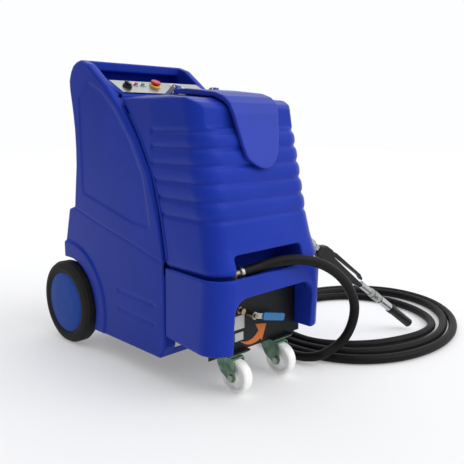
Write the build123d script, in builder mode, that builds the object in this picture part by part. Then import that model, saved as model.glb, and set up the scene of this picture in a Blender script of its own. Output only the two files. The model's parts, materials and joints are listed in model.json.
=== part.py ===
"""Mobile carpet cleaner: a rotomoulded steam cleaner with one hose and a trigger gun.

Millimetres, +Z up, the front of the machine faces -Y, X = 0 is its mid plane and the floor is Z = 0.
The origin is on the floor, under the middle of the machine's length.
"""
import os
from math import cos, radians, sin, tan

from build123d import *

os.makedirs("parts", exist_ok=True)

# ---------------------------------------------------------------- driving dimensions
HALF_WIDTH = 208          # over the side walls of the body
WALL = 6                  # rotomoulded wall
BODY_BOTTOM = 72
SIDES = ((-1, "left"), (1, "right"))

WHEEL_R, WHEEL_Y, WHEEL_IN, WHEEL_OUT = 143, 315.5, 180, 240
HUB_R, AXLE_R, RUNNING_FIT = 104, 10, 0.05
ARCH_R, WELL_X = 156, 174

DECK_Z, DECK_T, DECK_HALF = 118, 4, 158
CASTER_X, CASTER_Y, CASTER_TRAIL = 94, -359, 30
CASTER_R, CASTER_W, CASTER_BOLT_R = 50, 32, 6
CASTER_LEG = 19.5         # inner face of a fork leg, from the wheel's mid plane
CROWN_Z = 102.2           # underside of the fork's crown

RIM_Z, SKIRT_BOTTOM, SKIRT_FRONT = 353, 145, -457
BAY_HALF, BAY_TOP = 162, 295
PANEL_Y, PANEL_T = -374.6, 3

CHEEK_IN, TANK_REAR_HALF = 180, 176
RECESS_LEFT, RECESS_RIGHT, RECESS_TOP, RECESS_BACK = 151, 116, 412, -335

LID_HALF, LID_T = 97, 14
HINGE_Y, HINGE_Z, HINGE_PIN_R = -118, 857, 3
HINGE_X = 75

CONSOLE_TILT = 27         # of the control panel, towards the front

VALVE_X, VALVE_Y, VALVE_Z = -43, -356, 220
LEVER_Y = -407            # rear face of the lever
LEVER_DROOP = 14          # degrees below level, with the valve shut
LEVER_LENGTH = 124

HOSE_D = 30
OUTLET_X, OUTLET_Y, OUTLET_Z = -134, -418, 358

# The front edge of the side cheeks, from its lower end to the handle (Y, Z).
CHEEK_ARC = [(-206, 363), (-195, 429), (-179, 513), (-145, 618), (-87, 711), (-15, 799), (60, 868), (152, 935)]
# The line where the upper shell sits on the base, from the back to the front (Y, Z).
SEAM = [(274, 479), (116, 438), (-48, 402), (-206, 363)]

# ---------------------------------------------------------------- chassis
with BuildPart() as chassis_frame:
    with BuildSketch(Plane.XY.offset(DECK_Z)):
        with Locations((0, -44.5)):
            Rectangle(2 * DECK_HALF, 659)
        for side, _ in SIDES:
            # lugs that carry the caster plates in front of the panel
            with Locations((side * CASTER_X, -380)):
                Rectangle(86, 40)
        with Locations((VALVE_X, VALVE_Y)):
            Circle(10, mode=Mode.SUBTRACT)
        with Locations((0, 118)):
            Circle(24, mode=Mode.SUBTRACT)
    extrude(amount=DECK_T)
    for side, _ in SIDES:
        # stiffening flange along each edge of the deck
        with Locations((side * 156.5, -44.5, DECK_Z + 12)):
            Box(3, 380, 24)
        # axle bracket
        with BuildSketch(Plane.YZ.offset(side * 153)):
            with BuildLine():
                Polyline((190, DECK_Z), (200, DECK_Z + 40), (295, 190), (328, 190), (328, 112), (300, 106), (225, 106),
                         (190, DECK_Z))
            make_face()
            with Locations((WHEEL_Y, WHEEL_R)):
                Circle(AXLE_R, mode=Mode.SUBTRACT)
        extrude(amount=3, both=True)
chassis_frame.part.label = "chassis_frame"
export_step(chassis_frame.part, "parts/chassis_frame.step")

with BuildPart() as rear_axle:
    with BuildSketch(Plane.YZ.offset(-228)):
        with Locations((WHEEL_Y, WHEEL_R)):
            Circle(AXLE_R)
    extrude(amount=456)
    chamfer(rear_axle.faces().filter_by(Axis.X).edges(), 1.5)
rear_axle.part.label = "rear_axle"
export_step(rear_axle.part, "parts/rear_axle.step")

# ---------------------------------------------------------------- base shell
with BuildPart() as base_shell:
    with BuildSketch(Plane.YZ):
        with BuildLine():
            Polyline(*SEAM, (-206, 112), (-182, BODY_BOTTOM), (338, BODY_BOTTOM), (338, 298), (349, 316), (305, 469),
                     SEAM[0])
        make_face()
    extrude(amount=HALF_WIDTH, both=True)
    # raised fender round each wheel arch
    for side, _ in SIDES:
        with BuildSketch(Plane.YZ.offset(side * HALF_WIDTH)):
            with Locations((WHEEL_Y, WHEEL_R)):
                Circle(ARCH_R + 58)
            with Locations((WHEEL_Y + 181, 240)):
                Rectangle(300, 700, mode=Mode.SUBTRACT)
            with Locations((WHEEL_Y, BODY_BOTTOM - 150)):
                Rectangle(700, 300, mode=Mode.SUBTRACT)
        extrude(amount=side * 5, taper=30)
    # wheel wells, open behind and below the axle
    for side, _ in SIDES:
        with BuildSketch(Plane.YZ.offset(side * WELL_X)):
            with Locations((WHEEL_Y, WHEEL_R)):
                Circle(ARCH_R)
            with Locations((WHEEL_Y + 100, 148)):
                Rectangle(200, 296)
            with Locations((WHEEL_Y, 30)):
                Rectangle(278, 100)
        extrude(amount=side * 60, mode=Mode.SUBTRACT)
    # the main hollow between the wheels
    with BuildSketch(Plane.YZ):
        with BuildLine():
            Polyline((-176, 0), (332, 0), (332, 296), (342, 316), (299, 466), (299, 700), (-200, 700), (-200, 113),
                     (-176, 72), (-176, 0))
        make_face()
    extrude(amount=168, both=True, mode=Mode.SUBTRACT)
    # the side hollows ahead of the wheel wells and over them
    for side, _ in SIDES:
        with BuildSketch(Plane.YZ.offset(side * 160)):
            with BuildLine():
                Polyline((-176, 0), (140, 0), (140, 290), (342, 316), (299, 466), (299, 700), (-200, 700),
                         (-200, 113), (-176, 72), (-176, 0))
            make_face()
            with Locations((WHEEL_Y, WHEEL_R)):
                Circle(ARCH_R + WALL, mode=Mode.SUBTRACT)
        extrude(amount=side * (HALF_WIDTH - WALL - 160), mode=Mode.SUBTRACT)
    # window in the front wall, for the deck and the pipes, and the gap that the tank passes through
    with BuildSketch(Plane.XZ.offset(170)):
        with Locations((0, 209)):
            Rectangle(330, 218)
        with Locations((0, 380)):
            Rectangle(2 * (HALF_WIDTH - WALL), 106)
    extrude(amount=40, mode=Mode.SUBTRACT)
    # window behind the service door
    with BuildSketch(Plane.XZ.offset(-350)):
        with Locations((0, 205)):
            Rectangle(220, 150)
    extrude(amount=30, mode=Mode.SUBTRACT)
    # axle holes
    with BuildSketch(Plane.YZ.offset(-180)):
        with Locations((WHEEL_Y, WHEEL_R)):
            Circle(12.5)
    extrude(amount=360, mode=Mode.SUBTRACT)
    # two shallow moulded louvres on each side
    for side, _ in SIDES:
        for z_front, z_back in ((238, 247), (180, 188)):
            with BuildSketch(Plane.YZ.offset(side * (HALF_WIDTH - 2))):
                with BuildLine():
                    Polyline((-166, z_front), (30, z_back), (30, z_back - 14), (-166, z_front - 14), (-166, z_front))
                make_face()
            extrude(amount=side * 5, mode=Mode.SUBTRACT)
base_shell.part.label = "base_shell"
export_step(base_shell.part, "parts/base_shell.step")


def skirt_plan(half_rear, half_front, front, radius, rear=-186):
    """Closed plan outline of the front of the body, with round front corners."""
    with BuildLine() as outline:
        FilletPolyline((-half_rear, rear), (-half_front, front), (half_front, front), (half_rear, rear), radius=radius)
        Line((half_rear, rear), (-half_rear, rear))
    return outline.line


# ---------------------------------------------------------------- front skirt: the tray round the front of the base
with BuildPart() as front_skirt:
    for height, half_rear, half_front, front in ((SKIRT_BOTTOM, 205, 238, SKIRT_FRONT + 10),
                                                 (RIM_Z, 203, 231, SKIRT_FRONT)):
        with BuildSketch(Plane.XY.offset(height)):
            add(skirt_plan(half_rear, half_front, front, 62, rear=-206))
            make_face()
    loft(ruled=True)
    fillet(front_skirt.edges().group_by(Axis.Z)[-1].filter_by(lambda e: e.center().Y < -200), 5)
    # tray pocket that the tank stands in
    with BuildSketch(Plane.XY.offset(330)):
        add(skirt_plan(197, 217, SKIRT_FRONT + 14, 52, rear=-196))
        make_face()
    extrude(amount=60, mode=Mode.SUBTRACT)
    # front opening with round upper corners
    with BuildSketch(Plane.XZ.offset(300)):
        with BuildLine():
            FilletPolyline((-BAY_HALF, 100), (-BAY_HALF, BAY_TOP), (BAY_HALF, BAY_TOP), (BAY_HALF, 100), radius=46)
            Line((BAY_HALF, 100), (-BAY_HALF, 100))
        make_face()
    extrude(amount=200, mode=Mode.SUBTRACT)
    # the bay behind the jambs
    with BuildSketch(Plane.XY.offset(100)):
        with BuildLine():
            Polyline((-196, -200), (-222, -378), (222, -378), (196, -200), (-196, -200))
        make_face()
    extrude(amount=218, mode=Mode.SUBTRACT)
    with Locations((0, -400, 209)):
        Box(2 * BAY_HALF, 60, 218, mode=Mode.SUBTRACT)
    # hollow jambs, open below
    for side, _ in SIDES:
        with Locations((side * 189, -401, 215)):
            Box(34, 48, 200, mode=Mode.SUBTRACT)
    # hole for the steam pipe
    with Locations((OUTLET_X, OUTLET_Y, 320)):
        Cylinder(9, 60, mode=Mode.SUBTRACT)
front_skirt.part.label = "front_skirt"
export_step(front_skirt.part, "parts/front_skirt.step")

console = Plane(origin=(0, 49, 863.5), x_dir=(1, 0, 0),
                z_dir=(0, -sin(radians(CONSOLE_TILT)), cos(radians(CONSOLE_TILT))))

# ---------------------------------------------------------------- rear shell: cheeks, back wall and handle in one moulding
with BuildPart() as rear_shell:
    with BuildSketch(Plane.YZ):
        with BuildLine():
            Polyline(*CHEEK_ARC, (198, 950), (222, 946), (243, 936), (259, 917), (271, 890), (270, 858), (262, 815),
                     (256, 777), (251, 727), (250, 672), (253, 615), (262, 558), *SEAM)
        make_face()
    extrude(amount=HALF_WIDTH, both=True)
    fillet(rear_shell.faces().filter_by(Axis.X).edges().filter_by(lambda e: e.center().Z > 500), 9)
    # room for the tank and the console, up to the handle bar
    with BuildSketch(Plane.YZ):
        with BuildLine():
            Polyline((-300, 300), (237, 300), (237, 900), (224, 914), (190, 920), (180, 1000), (-300, 1000), (-300, 300))
        make_face()
    extrude(amount=CHEEK_IN, both=True, mode=Mode.SUBTRACT)
    # lightening hollows on the inner faces of the cheeks
    for side, _ in SIDES:
        with BuildSketch(Plane.YZ.offset(side * CHEEK_IN)):
            with BuildLine():
                Polyline((-160, 396), (-120, 600), (-60, 700), (-12, 760), (225, 760), (225, 300), (-160, 300), (-160, 396))
            make_face()
        extrude(amount=side * 22, mode=Mode.SUBTRACT)
    # sill that carries the control panel, with the hand pocket behind it
    with BuildSketch(Plane.YZ):
        with BuildLine():
            Polyline((8, 780), (238, 780), (238, 786), (96, 786), (96, 878), (86, 882), (13, 843), (8, 836), (8, 780))
        make_face()
        with BuildLine():
            Polyline((14, 786), (88, 786), (88, 874), (14, 836), (14, 786))
        make_face(mode=Mode.SUBTRACT)
    extrude(amount=CHEEK_IN + 2, both=True)
    # opening under the panel, with slots for its folded ends
    with BuildSketch(console.offset(-12)):
        Rectangle(330, 62)
        for side, _ in SIDES:
            with Locations((side * 174, 0)):
                Rectangle(3.4, 88)
    extrude(amount=16, mode=Mode.SUBTRACT)
    # shallow moulded field on each side
    for side, _ in SIDES:
        with BuildSketch(Plane.YZ.offset(side * (HALF_WIDTH - 1.5))):
            with BuildLine():
                FilletPolyline((213, 831), (213, 529), (-64, 461), (-150, 455), (-118, 610), (-60, 708), (12, 795),
                               (80, 850), (150, 880), radius=16)
                Line((150, 880), (213, 831))
            make_face()
        extrude(amount=side * 5, mode=Mode.SUBTRACT)
    # mouth of the power inlet in a flat boss on the back wall
    with Locations((110, 249, 560)):
        Box(68, 26, 68)
    with BuildSketch(Plane.XZ.offset(-270)):
        with Locations((110, 560)):
            Circle(21)
    extrude(amount=60, mode=Mode.SUBTRACT)
    with BuildSketch(Plane.XZ.offset(-262)):
        with Locations((110, 560)):
            RectangleRounded(61, 61, 6.5)
    extrude(amount=-30, mode=Mode.SUBTRACT)
rear_shell.part.label = "rear_shell"
export_step(rear_shell.part, "parts/rear_shell.step")

# ---------------------------------------------------------------- water tank
# Plan of the tank at some heights: Z, half width at the front, front Y, half width at the back.
TANK_LEVELS = [(332, 200, -432, 186), (356, 205, -436, 190), (362, 215, -446, 197), (374, 221, -449, 198), (430, 212, -430, 200), (510, 206, -410, 200),
               (631, 203, -385, 200), (741, 199, -362, 198), (845, 197, -344, 197)]
GROOVES = (734, 690, 645, 598, 551, 503)
GROOVE_STEPS = ((9, 2), (4, 4.5))      # half height and depth of a groove's wide and narrow part


def tank_at(height):
    """Half width at the front, front Y and half width at the back, at one height."""
    for low, high in zip(TANK_LEVELS, TANK_LEVELS[1:]):
        if height <= high[0]:
            share = (height - low[0]) / (high[0] - low[0])
            return [a + (b - a) * share for a, b in zip(low[1:], high[1:])]
    return list(TANK_LEVELS[-1][1:])


with BuildPart() as tank:
    for height, half_front, front, half_rear in TANK_LEVELS:
        with BuildSketch(Plane.XY.offset(height)):
            with BuildLine():
                FilletPolyline((-half_rear, -150), (-half_front, front), (half_front, front), (half_rear, -150), radius=60)
                Polyline((half_rear, -150), (TANK_REAR_HALF + 14, -2), (-TANK_REAR_HALF - 14, -2), (-half_rear, -150))
            make_face()
    loft(ruled=True)
    # side view: the top falls towards the front
    with BuildSketch(Plane.YZ):
        with BuildLine():
            Polyline((-2, 332), (-2, 838), (-128, 836), (-296, 822), (-330, 808), (-344, 795), (-351, 741), (-470, 741),
                     (-470, 332), (-2, 332))
        make_face()
    extrude(amount=260, both=True, mode=Mode.INTERSECT)
    # front view: sloping shoulders beside the lid
    with BuildSketch(Plane.XZ):
        with BuildLine():
            Polyline((-240, 332), (-240, 782), (-204, 814), (-190, 827), (-104, 838), (104, 838), (190, 827), (204, 814),
                     (240, 782), (240, 332), (-240, 332))
        make_face()
    extrude(amount=480, both=False, mode=Mode.INTERSECT)
    # horizontal grooves
    for groove in GROOVES:
        half_front, front, half_rear = tank_at(groove)
        for half_height, depth in GROOVE_STEPS:
            with BuildSketch(Plane.XY.offset(groove - half_height)):
                Rectangle(520, 1000)
                add(skirt_plan(half_rear - depth, half_front - depth, front + depth, 60 - depth, rear=-150))
                make_face(mode=Mode.SUBTRACT)
                with Locations((0, 100)):
                    Rectangle(520, 500, mode=Mode.SUBTRACT)
            extrude(amount=2 * half_height, mode=Mode.SUBTRACT)
    # the part between the cheeks is narrower, 8 mm behind their front edge
    for side, _ in SIDES:
        with BuildSketch(Plane.YZ.offset(side * TANK_REAR_HALF)):
            with BuildLine():
                Polyline(*[(y - 8, z) for y, z in CHEEK_ARC[:-1]], (60, 900), (300, 900), (300, 363), (-206, 300),
                         (-214, 363))
            make_face()
        extrude(amount=side * 60, mode=Mode.SUBTRACT)
    # recess over the tray, where the hose comes out
    with BuildSketch(Plane.XZ.offset(-RECESS_BACK)):
        with BuildLine():
            FilletPolyline((-RECESS_LEFT, 300), (-RECESS_LEFT, RECESS_TOP), (RECESS_RIGHT, RECESS_TOP),
                           (RECESS_RIGHT, 300), radius=12)
            Line((RECESS_RIGHT, 300), (-RECESS_LEFT, 300))
        make_face()
    extrude(amount=160, mode=Mode.SUBTRACT)
    # the hollow
    with BuildSketch(Plane.YZ):
        with BuildLine():
            Polyline((-8, 340), (-325, 340), (-325, 419), (-410, 419), (-392, 510), (-368, 631), (-347, 741), (-338, 774),
                     (-322, 786), (-290, 800), (-128, 815), (-8, 817), (-8, 340))
        make_face()
    extrude(amount=168, both=True, mode=Mode.SUBTRACT)
    # filling mouth and outlet
    with BuildSketch(Plane.XY.offset(780)):
        with Locations((0, -215)):
            RectangleRounded(140, 120, 25)
    extrude(amount=80, mode=Mode.SUBTRACT)
    with Locations((-85, -60, 336)):
        Cylinder(12, 20, mode=Mode.SUBTRACT)
tank.part.label = "tank"
export_step(tank.part, "parts/tank.step")

with BuildPart() as tank_strainer:
    with BuildSketch(Plane.XY.offset(325)):
        with Locations((-85, -60)):
            Circle(11.9)
            Circle(7.5, mode=Mode.SUBTRACT)
    extrude(amount=16)
    with BuildSketch(Plane.XY.offset(341)):
        with Locations((-85, -60)):
            Circle(16)
            Circle(13, mode=Mode.SUBTRACT)
    extrude(amount=30)
    with BuildSketch(Plane.XY.offset(341)):
        with Locations((-85, -60)):
            Circle(16)
            Circle(7.5, mode=Mode.SUBTRACT)
    extrude(amount=2)
    with BuildSketch(Plane.XY.offset(369)):
        with Locations((-85, -60)):
            Circle(16)
    extrude(amount=2)
tank_strainer.part.label = "tank_strainer"
export_step(tank_strainer.part, "parts/tank_strainer.step")

# ---------------------------------------------------------------- lid with its front tongue
with BuildPart() as lid:
    with BuildSketch(Plane.YZ):
        with BuildLine():
            outer = [(-128, 853), (-190, 851.5), (-302, 839), (-338, 827), (-361, 808), (-372, 780), (-405, 628)]
            inner = [(-391, 628), (-359, 776), (-349, 800), (-332, 812.5), (-298, 825.2), (-128, 839.4)]
            Polyline(*outer, *inner, outer[0])
        make_face()
    extrude(amount=LID_HALF, both=True)
    with BuildSketch(Plane.XZ):
        with BuildLine():
            top = Polyline((-72, 700), (-LID_HALF + 4, 800), (-LID_HALF, 830), (-LID_HALF, 900), (LID_HALF, 900),
                           (LID_HALF, 830), (LID_HALF - 4, 800), (72, 700))
            Spline((72, 700), (52, 655), (0, 631), (-52, 655), (-72, 700),
                   tangents=[(-0.28, -1), (-0.28, 1)])
        make_face()
    extrude(amount=500, mode=Mode.INTERSECT)
    # hinge lugs
    for x in (-HINGE_X, HINGE_X):
        with BuildSketch(Plane.YZ.offset(x - 8)):
            with Locations((HINGE_Y, HINGE_Z)):
                Circle(7)
            with BuildLine():
                Polyline((-136, 853), (-134, 845), (HINGE_Y, HINGE_Z - 7), (HINGE_Y, HINGE_Z + 7), (-136, 853))
            make_face()
        extrude(amount=16)
        with BuildSketch(Plane.YZ.offset(x - 9)):
            with Locations((HINGE_Y, HINGE_Z)):
                Circle(HINGE_PIN_R + RUNNING_FIT)
        extrude(amount=18, mode=Mode.SUBTRACT)
lid.part.label = "lid"
export_step(lid.part, "parts/lid.step")

with BuildPart() as lid_seal:
    seal_plane = Plane(origin=(0, -214, 829.3), x_dir=(1, 0, 0), z_dir=(0, -sin(radians(4.77)), cos(radians(4.77))))
    with BuildSketch(seal_plane):
        RectangleRounded(164, 142, 34)
        RectangleRounded(152, 130, 28, mode=Mode.SUBTRACT)
    extrude(amount=2.5)
lid_seal.part.label = "lid_seal"
export_step(lid_seal.part, "parts/lid_seal.step")

with BuildPart() as lid_hinges:
    for x in (-HINGE_X, HINGE_X):
        with BuildSketch(Plane.XY.offset(837.2)):
            with Locations((x, HINGE_Y + 26)):
                Rectangle(34, 24)
        extrude(amount=3.8)
        for ear in (-13, 13):
            with BuildSketch(Plane.YZ.offset(x + ear - 2)):
                with BuildLine():
                    Polyline((HINGE_Y + 14, 838), (HINGE_Y - 5, HINGE_Z - 5), (HINGE_Y - 5, HINGE_Z + 5),
                             (HINGE_Y + 5, HINGE_Z + 5), (HINGE_Y + 38, 841), (HINGE_Y + 38, 838), (HINGE_Y + 14, 838))
                make_face()
                with Locations((HINGE_Y, HINGE_Z)):
                    Circle(6)
                    Circle(HINGE_PIN_R, mode=Mode.SUBTRACT)
            extrude(amount=4)
    # pins, pressed into the ears
    for x in (-HINGE_X, HINGE_X):
        with BuildSketch(Plane.YZ.offset(x - 16)):
            with Locations((HINGE_Y, HINGE_Z)):
                Circle(HINGE_PIN_R)
        extrude(amount=32)
lid_hinges.part.label = "lid_hinges"
export_step(lid_hinges.part, "parts/lid_hinges.step")

# ---------------------------------------------------------------- console
E_STOP_AT, START_AT, STOP_AT, KNOB_AT, GAUGE_AT = (-20, 14), (-66, 16), (-92, 16), (-136, -2), (64, 6)

with BuildPart() as control_panel:
    with BuildSketch(console):
        Rectangle(350, 84)
    extrude(amount=2)
    with BuildSketch(console.offset(-10)):
        for side, _ in SIDES:
            with Locations((side * 174, 0)):
                Rectangle(2, 84)
    extrude(amount=12)
    with BuildSketch(console):
        for place, radius in ((E_STOP_AT, 11), (START_AT, 8), (STOP_AT, 8), (KNOB_AT, 5), (GAUGE_AT, 20)):
            with Locations(place):
                Circle(radius)
    extrude(amount=3, mode=Mode.SUBTRACT)
control_panel.part.label = "control_panel"
export_step(control_panel.part, "parts/control_panel.step")

with BuildPart() as e_stop_collar:
    with BuildSketch(console.offset(2)):
        with Locations(E_STOP_AT):
            Circle(19)
            Circle(8.05, mode=Mode.SUBTRACT)
    extrude(amount=4)
    with BuildSketch(console.offset(-24)):
        with Locations(E_STOP_AT):
            Circle(10.9)
            Circle(8.05, mode=Mode.SUBTRACT)
    extrude(amount=26)
    chamfer(e_stop_collar.faces().sort_by(Axis.Z)[-1].edges().sort_by(SortBy.LENGTH)[-1], 1)
e_stop_collar.part.label = "e_stop_collar"
export_step(e_stop_collar.part, "parts/e_stop_collar.step")

with BuildPart() as e_stop_button:
    with BuildSketch(console.offset(10.5)):
        with Locations(E_STOP_AT):
            Circle(16)
    extrude(amount=7)
    fillet(e_stop_button.faces().sort_by(Axis.Z)[-1].edges(), 3.5)
    with BuildSketch(console.offset(-16)):
        with Locations(E_STOP_AT):
            Circle(8)
    extrude(amount=26.5)
e_stop_button.part.label = "e_stop_button"
export_step(e_stop_button.part, "parts/e_stop_button.step")

with BuildPart() as button_bezels:
    for place in (START_AT, STOP_AT):
        with BuildSketch(console.offset(2)):
            with Locations(place):
                Circle(11)
                Circle(6.05, mode=Mode.SUBTRACT)
        extrude(amount=3)
        with BuildSketch(console.offset(-14)):
            with Locations(place):
                Circle(7.9)
                Circle(6.05, mode=Mode.SUBTRACT)
        extrude(amount=16)
button_bezels.part.label = "button_bezels"
export_step(button_bezels.part, "parts/button_bezels.step")

for name, place in (("start_button", START_AT), ("stop_button", STOP_AT)):
    with BuildPart() as push_button:
        with BuildSketch(console.offset(-8)):
            with Locations(place):
                Circle(6)
        extrude(amount=16)
        chamfer(push_button.faces().sort_by(Axis.Z)[-1].edges(), 0.8)
    push_button.part.label = name
    export_step(push_button.part, f"parts/{name}.step")

with BuildPart() as mode_knob:
    with BuildSketch(console.offset(2.4)):
        with Locations(KNOB_AT):
            Circle(15)
    extrude(amount=5)
    with BuildSketch(console.offset(7.4)):
        with Locations(KNOB_AT):
            Rectangle(8, 27)
    extrude(amount=9)
    with BuildSketch(console.offset(-12)):
        with Locations(KNOB_AT):
            Circle(4.95)
    extrude(amount=14.4)
mode_knob.part.label = "mode_knob"
export_step(mode_knob.part, "parts/mode_knob.step")

with BuildPart() as gauge_case:
    with BuildSketch(console.offset(-14)):
        with Locations(GAUGE_AT):
            Circle(19.9)
    extrude(amount=16)
    with BuildSketch(console.offset(2)):
        with Locations(GAUGE_AT):
            Circle(24)
    extrude(amount=5)
    with BuildSketch(console.offset(-4)):
        with Locations(GAUGE_AT):
            Circle(18)
    extrude(amount=20, mode=Mode.SUBTRACT)
    with BuildSketch(console.offset(-4)):
        with Locations(GAUGE_AT):
            Circle(1.5)
    extrude(amount=5)
gauge_case.part.label = "gauge_case"
export_step(gauge_case.part, "parts/gauge_case.step")

with BuildPart() as gauge_needle:
    with BuildSketch(console.offset(-1.5)):
        with Locations(GAUGE_AT):
            Circle(3)
            with Locations((-5.4, -5.4)):
                Rectangle(20, 1.6, rotation=45)
            Circle(1.55, mode=Mode.SUBTRACT)
    extrude(amount=1.2)
gauge_needle.part.label = "gauge_needle"
export_step(gauge_needle.part, "parts/gauge_needle.step")

with BuildPart() as gauge_lens:
    with BuildSketch(console.offset(3.5)):
        with Locations(GAUGE_AT):
            Circle(18)
    extrude(amount=2)
gauge_lens.part.label = "gauge_lens"
export_step(gauge_lens.part, "parts/gauge_lens.step")

# ---------------------------------------------------------------- front bay
with BuildPart() as front_panel:
    with BuildSketch(Plane.XZ.offset(-PANEL_Y)):
        with Locations((0, 216)):
            Rectangle(380, 200)
        for side, _ in SIDES:
            with Locations((side * CASTER_X, DECK_Z)):
                Rectangle(87, 2 * DECK_T + 0.8, mode=Mode.SUBTRACT)
        with Locations((OUTLET_X, 306), (VALVE_X, VALVE_Z)):
            Circle(9, mode=Mode.SUBTRACT)
    extrude(amount=PANEL_T)
front_panel.part.label = "front_panel"
export_step(front_panel.part, "parts/front_panel.step")

with BuildPart() as label_plates:
    for x, z, width, height in ((-79, 200, 50, 40), (-75, 158, 34, 24)):
        with BuildSketch(Plane.XZ.offset(-PANEL_Y + PANEL_T)):
            with Locations((x, z)):
                Rectangle(width, height)
        extrude(amount=0.8)
label_plates.part.label = "label_plates"
export_step(label_plates.part, "parts/label_plates.step")

# a curved arrow that shows which way the drain lever turns
with BuildPart() as direction_arrow:
    with BuildSketch(Plane.XZ.offset(-PANEL_Y + PANEL_T)):
        with BuildLine():
            ThreePointArc((-71, 145), (-22, 123), (12, 131))
            Line((12, 131), (20, 124))
            Line((20, 124), (39, 171))
            Line((39, 171), (-8, 180))
            Line((-8, 180), (5, 158))
            ThreePointArc((5, 158), (-22, 139), (-71, 145))
        make_face()
    extrude(amount=0.8)
direction_arrow.part.label = "direction_arrow"
export_step(direction_arrow.part, "parts/direction_arrow.step")

with BuildPart() as relief_fitting:
    for start, length, radius, sides in ((0.2, 6, 11, 6), (6.2, 10, 7, 0), (16.2, 6, 9, 6)):
        with BuildSketch(Plane.XZ.offset(-PANEL_Y + PANEL_T + start)):
            with Locations((-78, 238)):
                if sides:
                    RegularPolygon(radius, sides)
                else:
                    Circle(radius)
        extrude(amount=length)
relief_fitting.part.label = "relief_fitting"
export_step(relief_fitting.part, "parts/relief_fitting.step")

# ---------------------------------------------------------------- drain valve
with BuildPart() as drain_valve_body:
    with Locations((VALVE_X, VALVE_Y, VALVE_Z)):
        Sphere(17)
    with BuildSketch(Plane.XY.offset(VALVE_Z - 30)):
        with Locations((VALVE_X, VALVE_Y)):
            RegularPolygon(15, 6)
    extrude(amount=60)
    # bonnet through the panel, and the stem square to the lever
    with BuildSketch(Plane.XZ.offset(-VALVE_Y + 10)):
        with Locations((VALVE_X, VALVE_Z)):
            Circle(8)
    extrude(amount=VALVE_Y - LEVER_Y - 10.6)
    with BuildSketch(Plane.XZ.offset(-LEVER_Y - 1)):
        with Locations((VALVE_X, VALVE_Z)):
            Circle(4)
    extrude(amount=5)
    with BuildSketch(Plane.XZ.offset(-LEVER_Y + 3.4)):
        with Locations((VALVE_X, VALVE_Z)):
            RegularPolygon(7, 6)
    extrude(amount=6)
    # outlet nipple, down through the deck
    with BuildSketch(Plane.XY.offset(106)):
        with Locations((VALVE_X, VALVE_Y)):
            Circle(8.5)
    extrude(amount=90)
    with BuildSketch(Plane.XY.offset(106)):
        with Locations((VALVE_X, VALVE_Y)):
            Circle(6)
    extrude(amount=60, mode=Mode.SUBTRACT)
drain_valve_body.part.label = "drain_valve_body"
export_step(drain_valve_body.part, "parts/drain_valve_body.step")

lever_front = Plane(origin=(VALVE_X, LEVER_Y, VALVE_Z),
                    x_dir=(cos(radians(LEVER_DROOP)), 0, -sin(radians(LEVER_DROOP))), z_dir=(0, -1, 0))
with BuildPart() as drain_valve_lever:
    with BuildSketch(lever_front):
        Circle(11)
        with Locations((LEVER_LENGTH / 2, 0)):
            Rectangle(LEVER_LENGTH, 16)
        Circle(4.05, mode=Mode.SUBTRACT)
    extrude(amount=3)
drain_valve_lever.part.label = "drain_valve_lever"
export_step(drain_valve_lever.part, "parts/drain_valve_lever.step")

with BuildPart() as lever_sleeve:
    with BuildSketch(lever_front.offset(-3.5)):
        with Locations((LEVER_LENGTH / 2 + 18, 0)):
            Rectangle(LEVER_LENGTH - 30, 22)
    extrude(amount=10)
    fillet(lever_sleeve.edges().filter_by(Axis.Y), 7)
    with BuildSketch(lever_front):
        with Locations((LEVER_LENGTH / 2, 0)):
            Rectangle(LEVER_LENGTH, 16)
    extrude(amount=3, mode=Mode.SUBTRACT)
lever_sleeve.part.label = "lever_sleeve"
export_step(lever_sleeve.part, "parts/lever_sleeve.step")

# ---------------------------------------------------------------- boiler, pump and pipes
BOILER_Y, BOILER_R, BOILER_TOP = 118, 88, 600
with BuildPart() as boiler_vessel:
    with BuildSketch(Plane.XY.offset(160)):
        with Locations((0, BOILER_Y)):
            Circle(BOILER_R)
    extrude(amount=BOILER_TOP - 160)
    fillet(boiler_vessel.edges().group_by(Axis.Z)[0], 10)
    with BuildSketch(Plane.XY.offset(166)):
        with Locations((0, BOILER_Y)):
            Circle(BOILER_R - 5)
    extrude(amount=BOILER_TOP - 160, mode=Mode.SUBTRACT)
    with BuildSketch(Plane.XY.offset(DECK_Z + DECK_T)):
        with Locations((0, BOILER_Y)):
            with PolarLocations(60, 4, start_angle=45):
                Rectangle(24, 14)
    extrude(amount=52)
boiler_vessel.part.label = "boiler_vessel"
export_step(boiler_vessel.part, "parts/boiler_vessel.step")

with BuildPart() as heater_flange:
    with BuildSketch(Plane.XY.offset(BOILER_TOP)):
        with Locations((0, BOILER_Y)):
            Circle(BOILER_R + 6)
    extrude(amount=10)
    with BuildSketch(Plane.XY.offset(BOILER_TOP - 360)):
        with Locations((0, BOILER_Y)):
            with PolarLocations(36, 6):
                Circle(5.5)
    extrude(amount=360)
    with BuildSketch(Plane.XY.offset(BOILER_TOP + 10)):
        with Locations((0, BOILER_Y)):
            with PolarLocations(BOILER_R - 8, 8):
                RegularPolygon(8, 6)
    extrude(amount=6)
    # safety valve
    for radius, low, height in ((9, 10, 16), (13, 26, 12), (9, 38, 30), (4, 68, 10)):
        with BuildSketch(Plane.XY.offset(BOILER_TOP + low)):
            with Locations((30, BOILER_Y)):
                Circle(radius)
        extrude(amount=height)
heater_flange.part.label = "heater_flange"
export_step(heater_flange.part, "parts/heater_flange.step")

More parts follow.
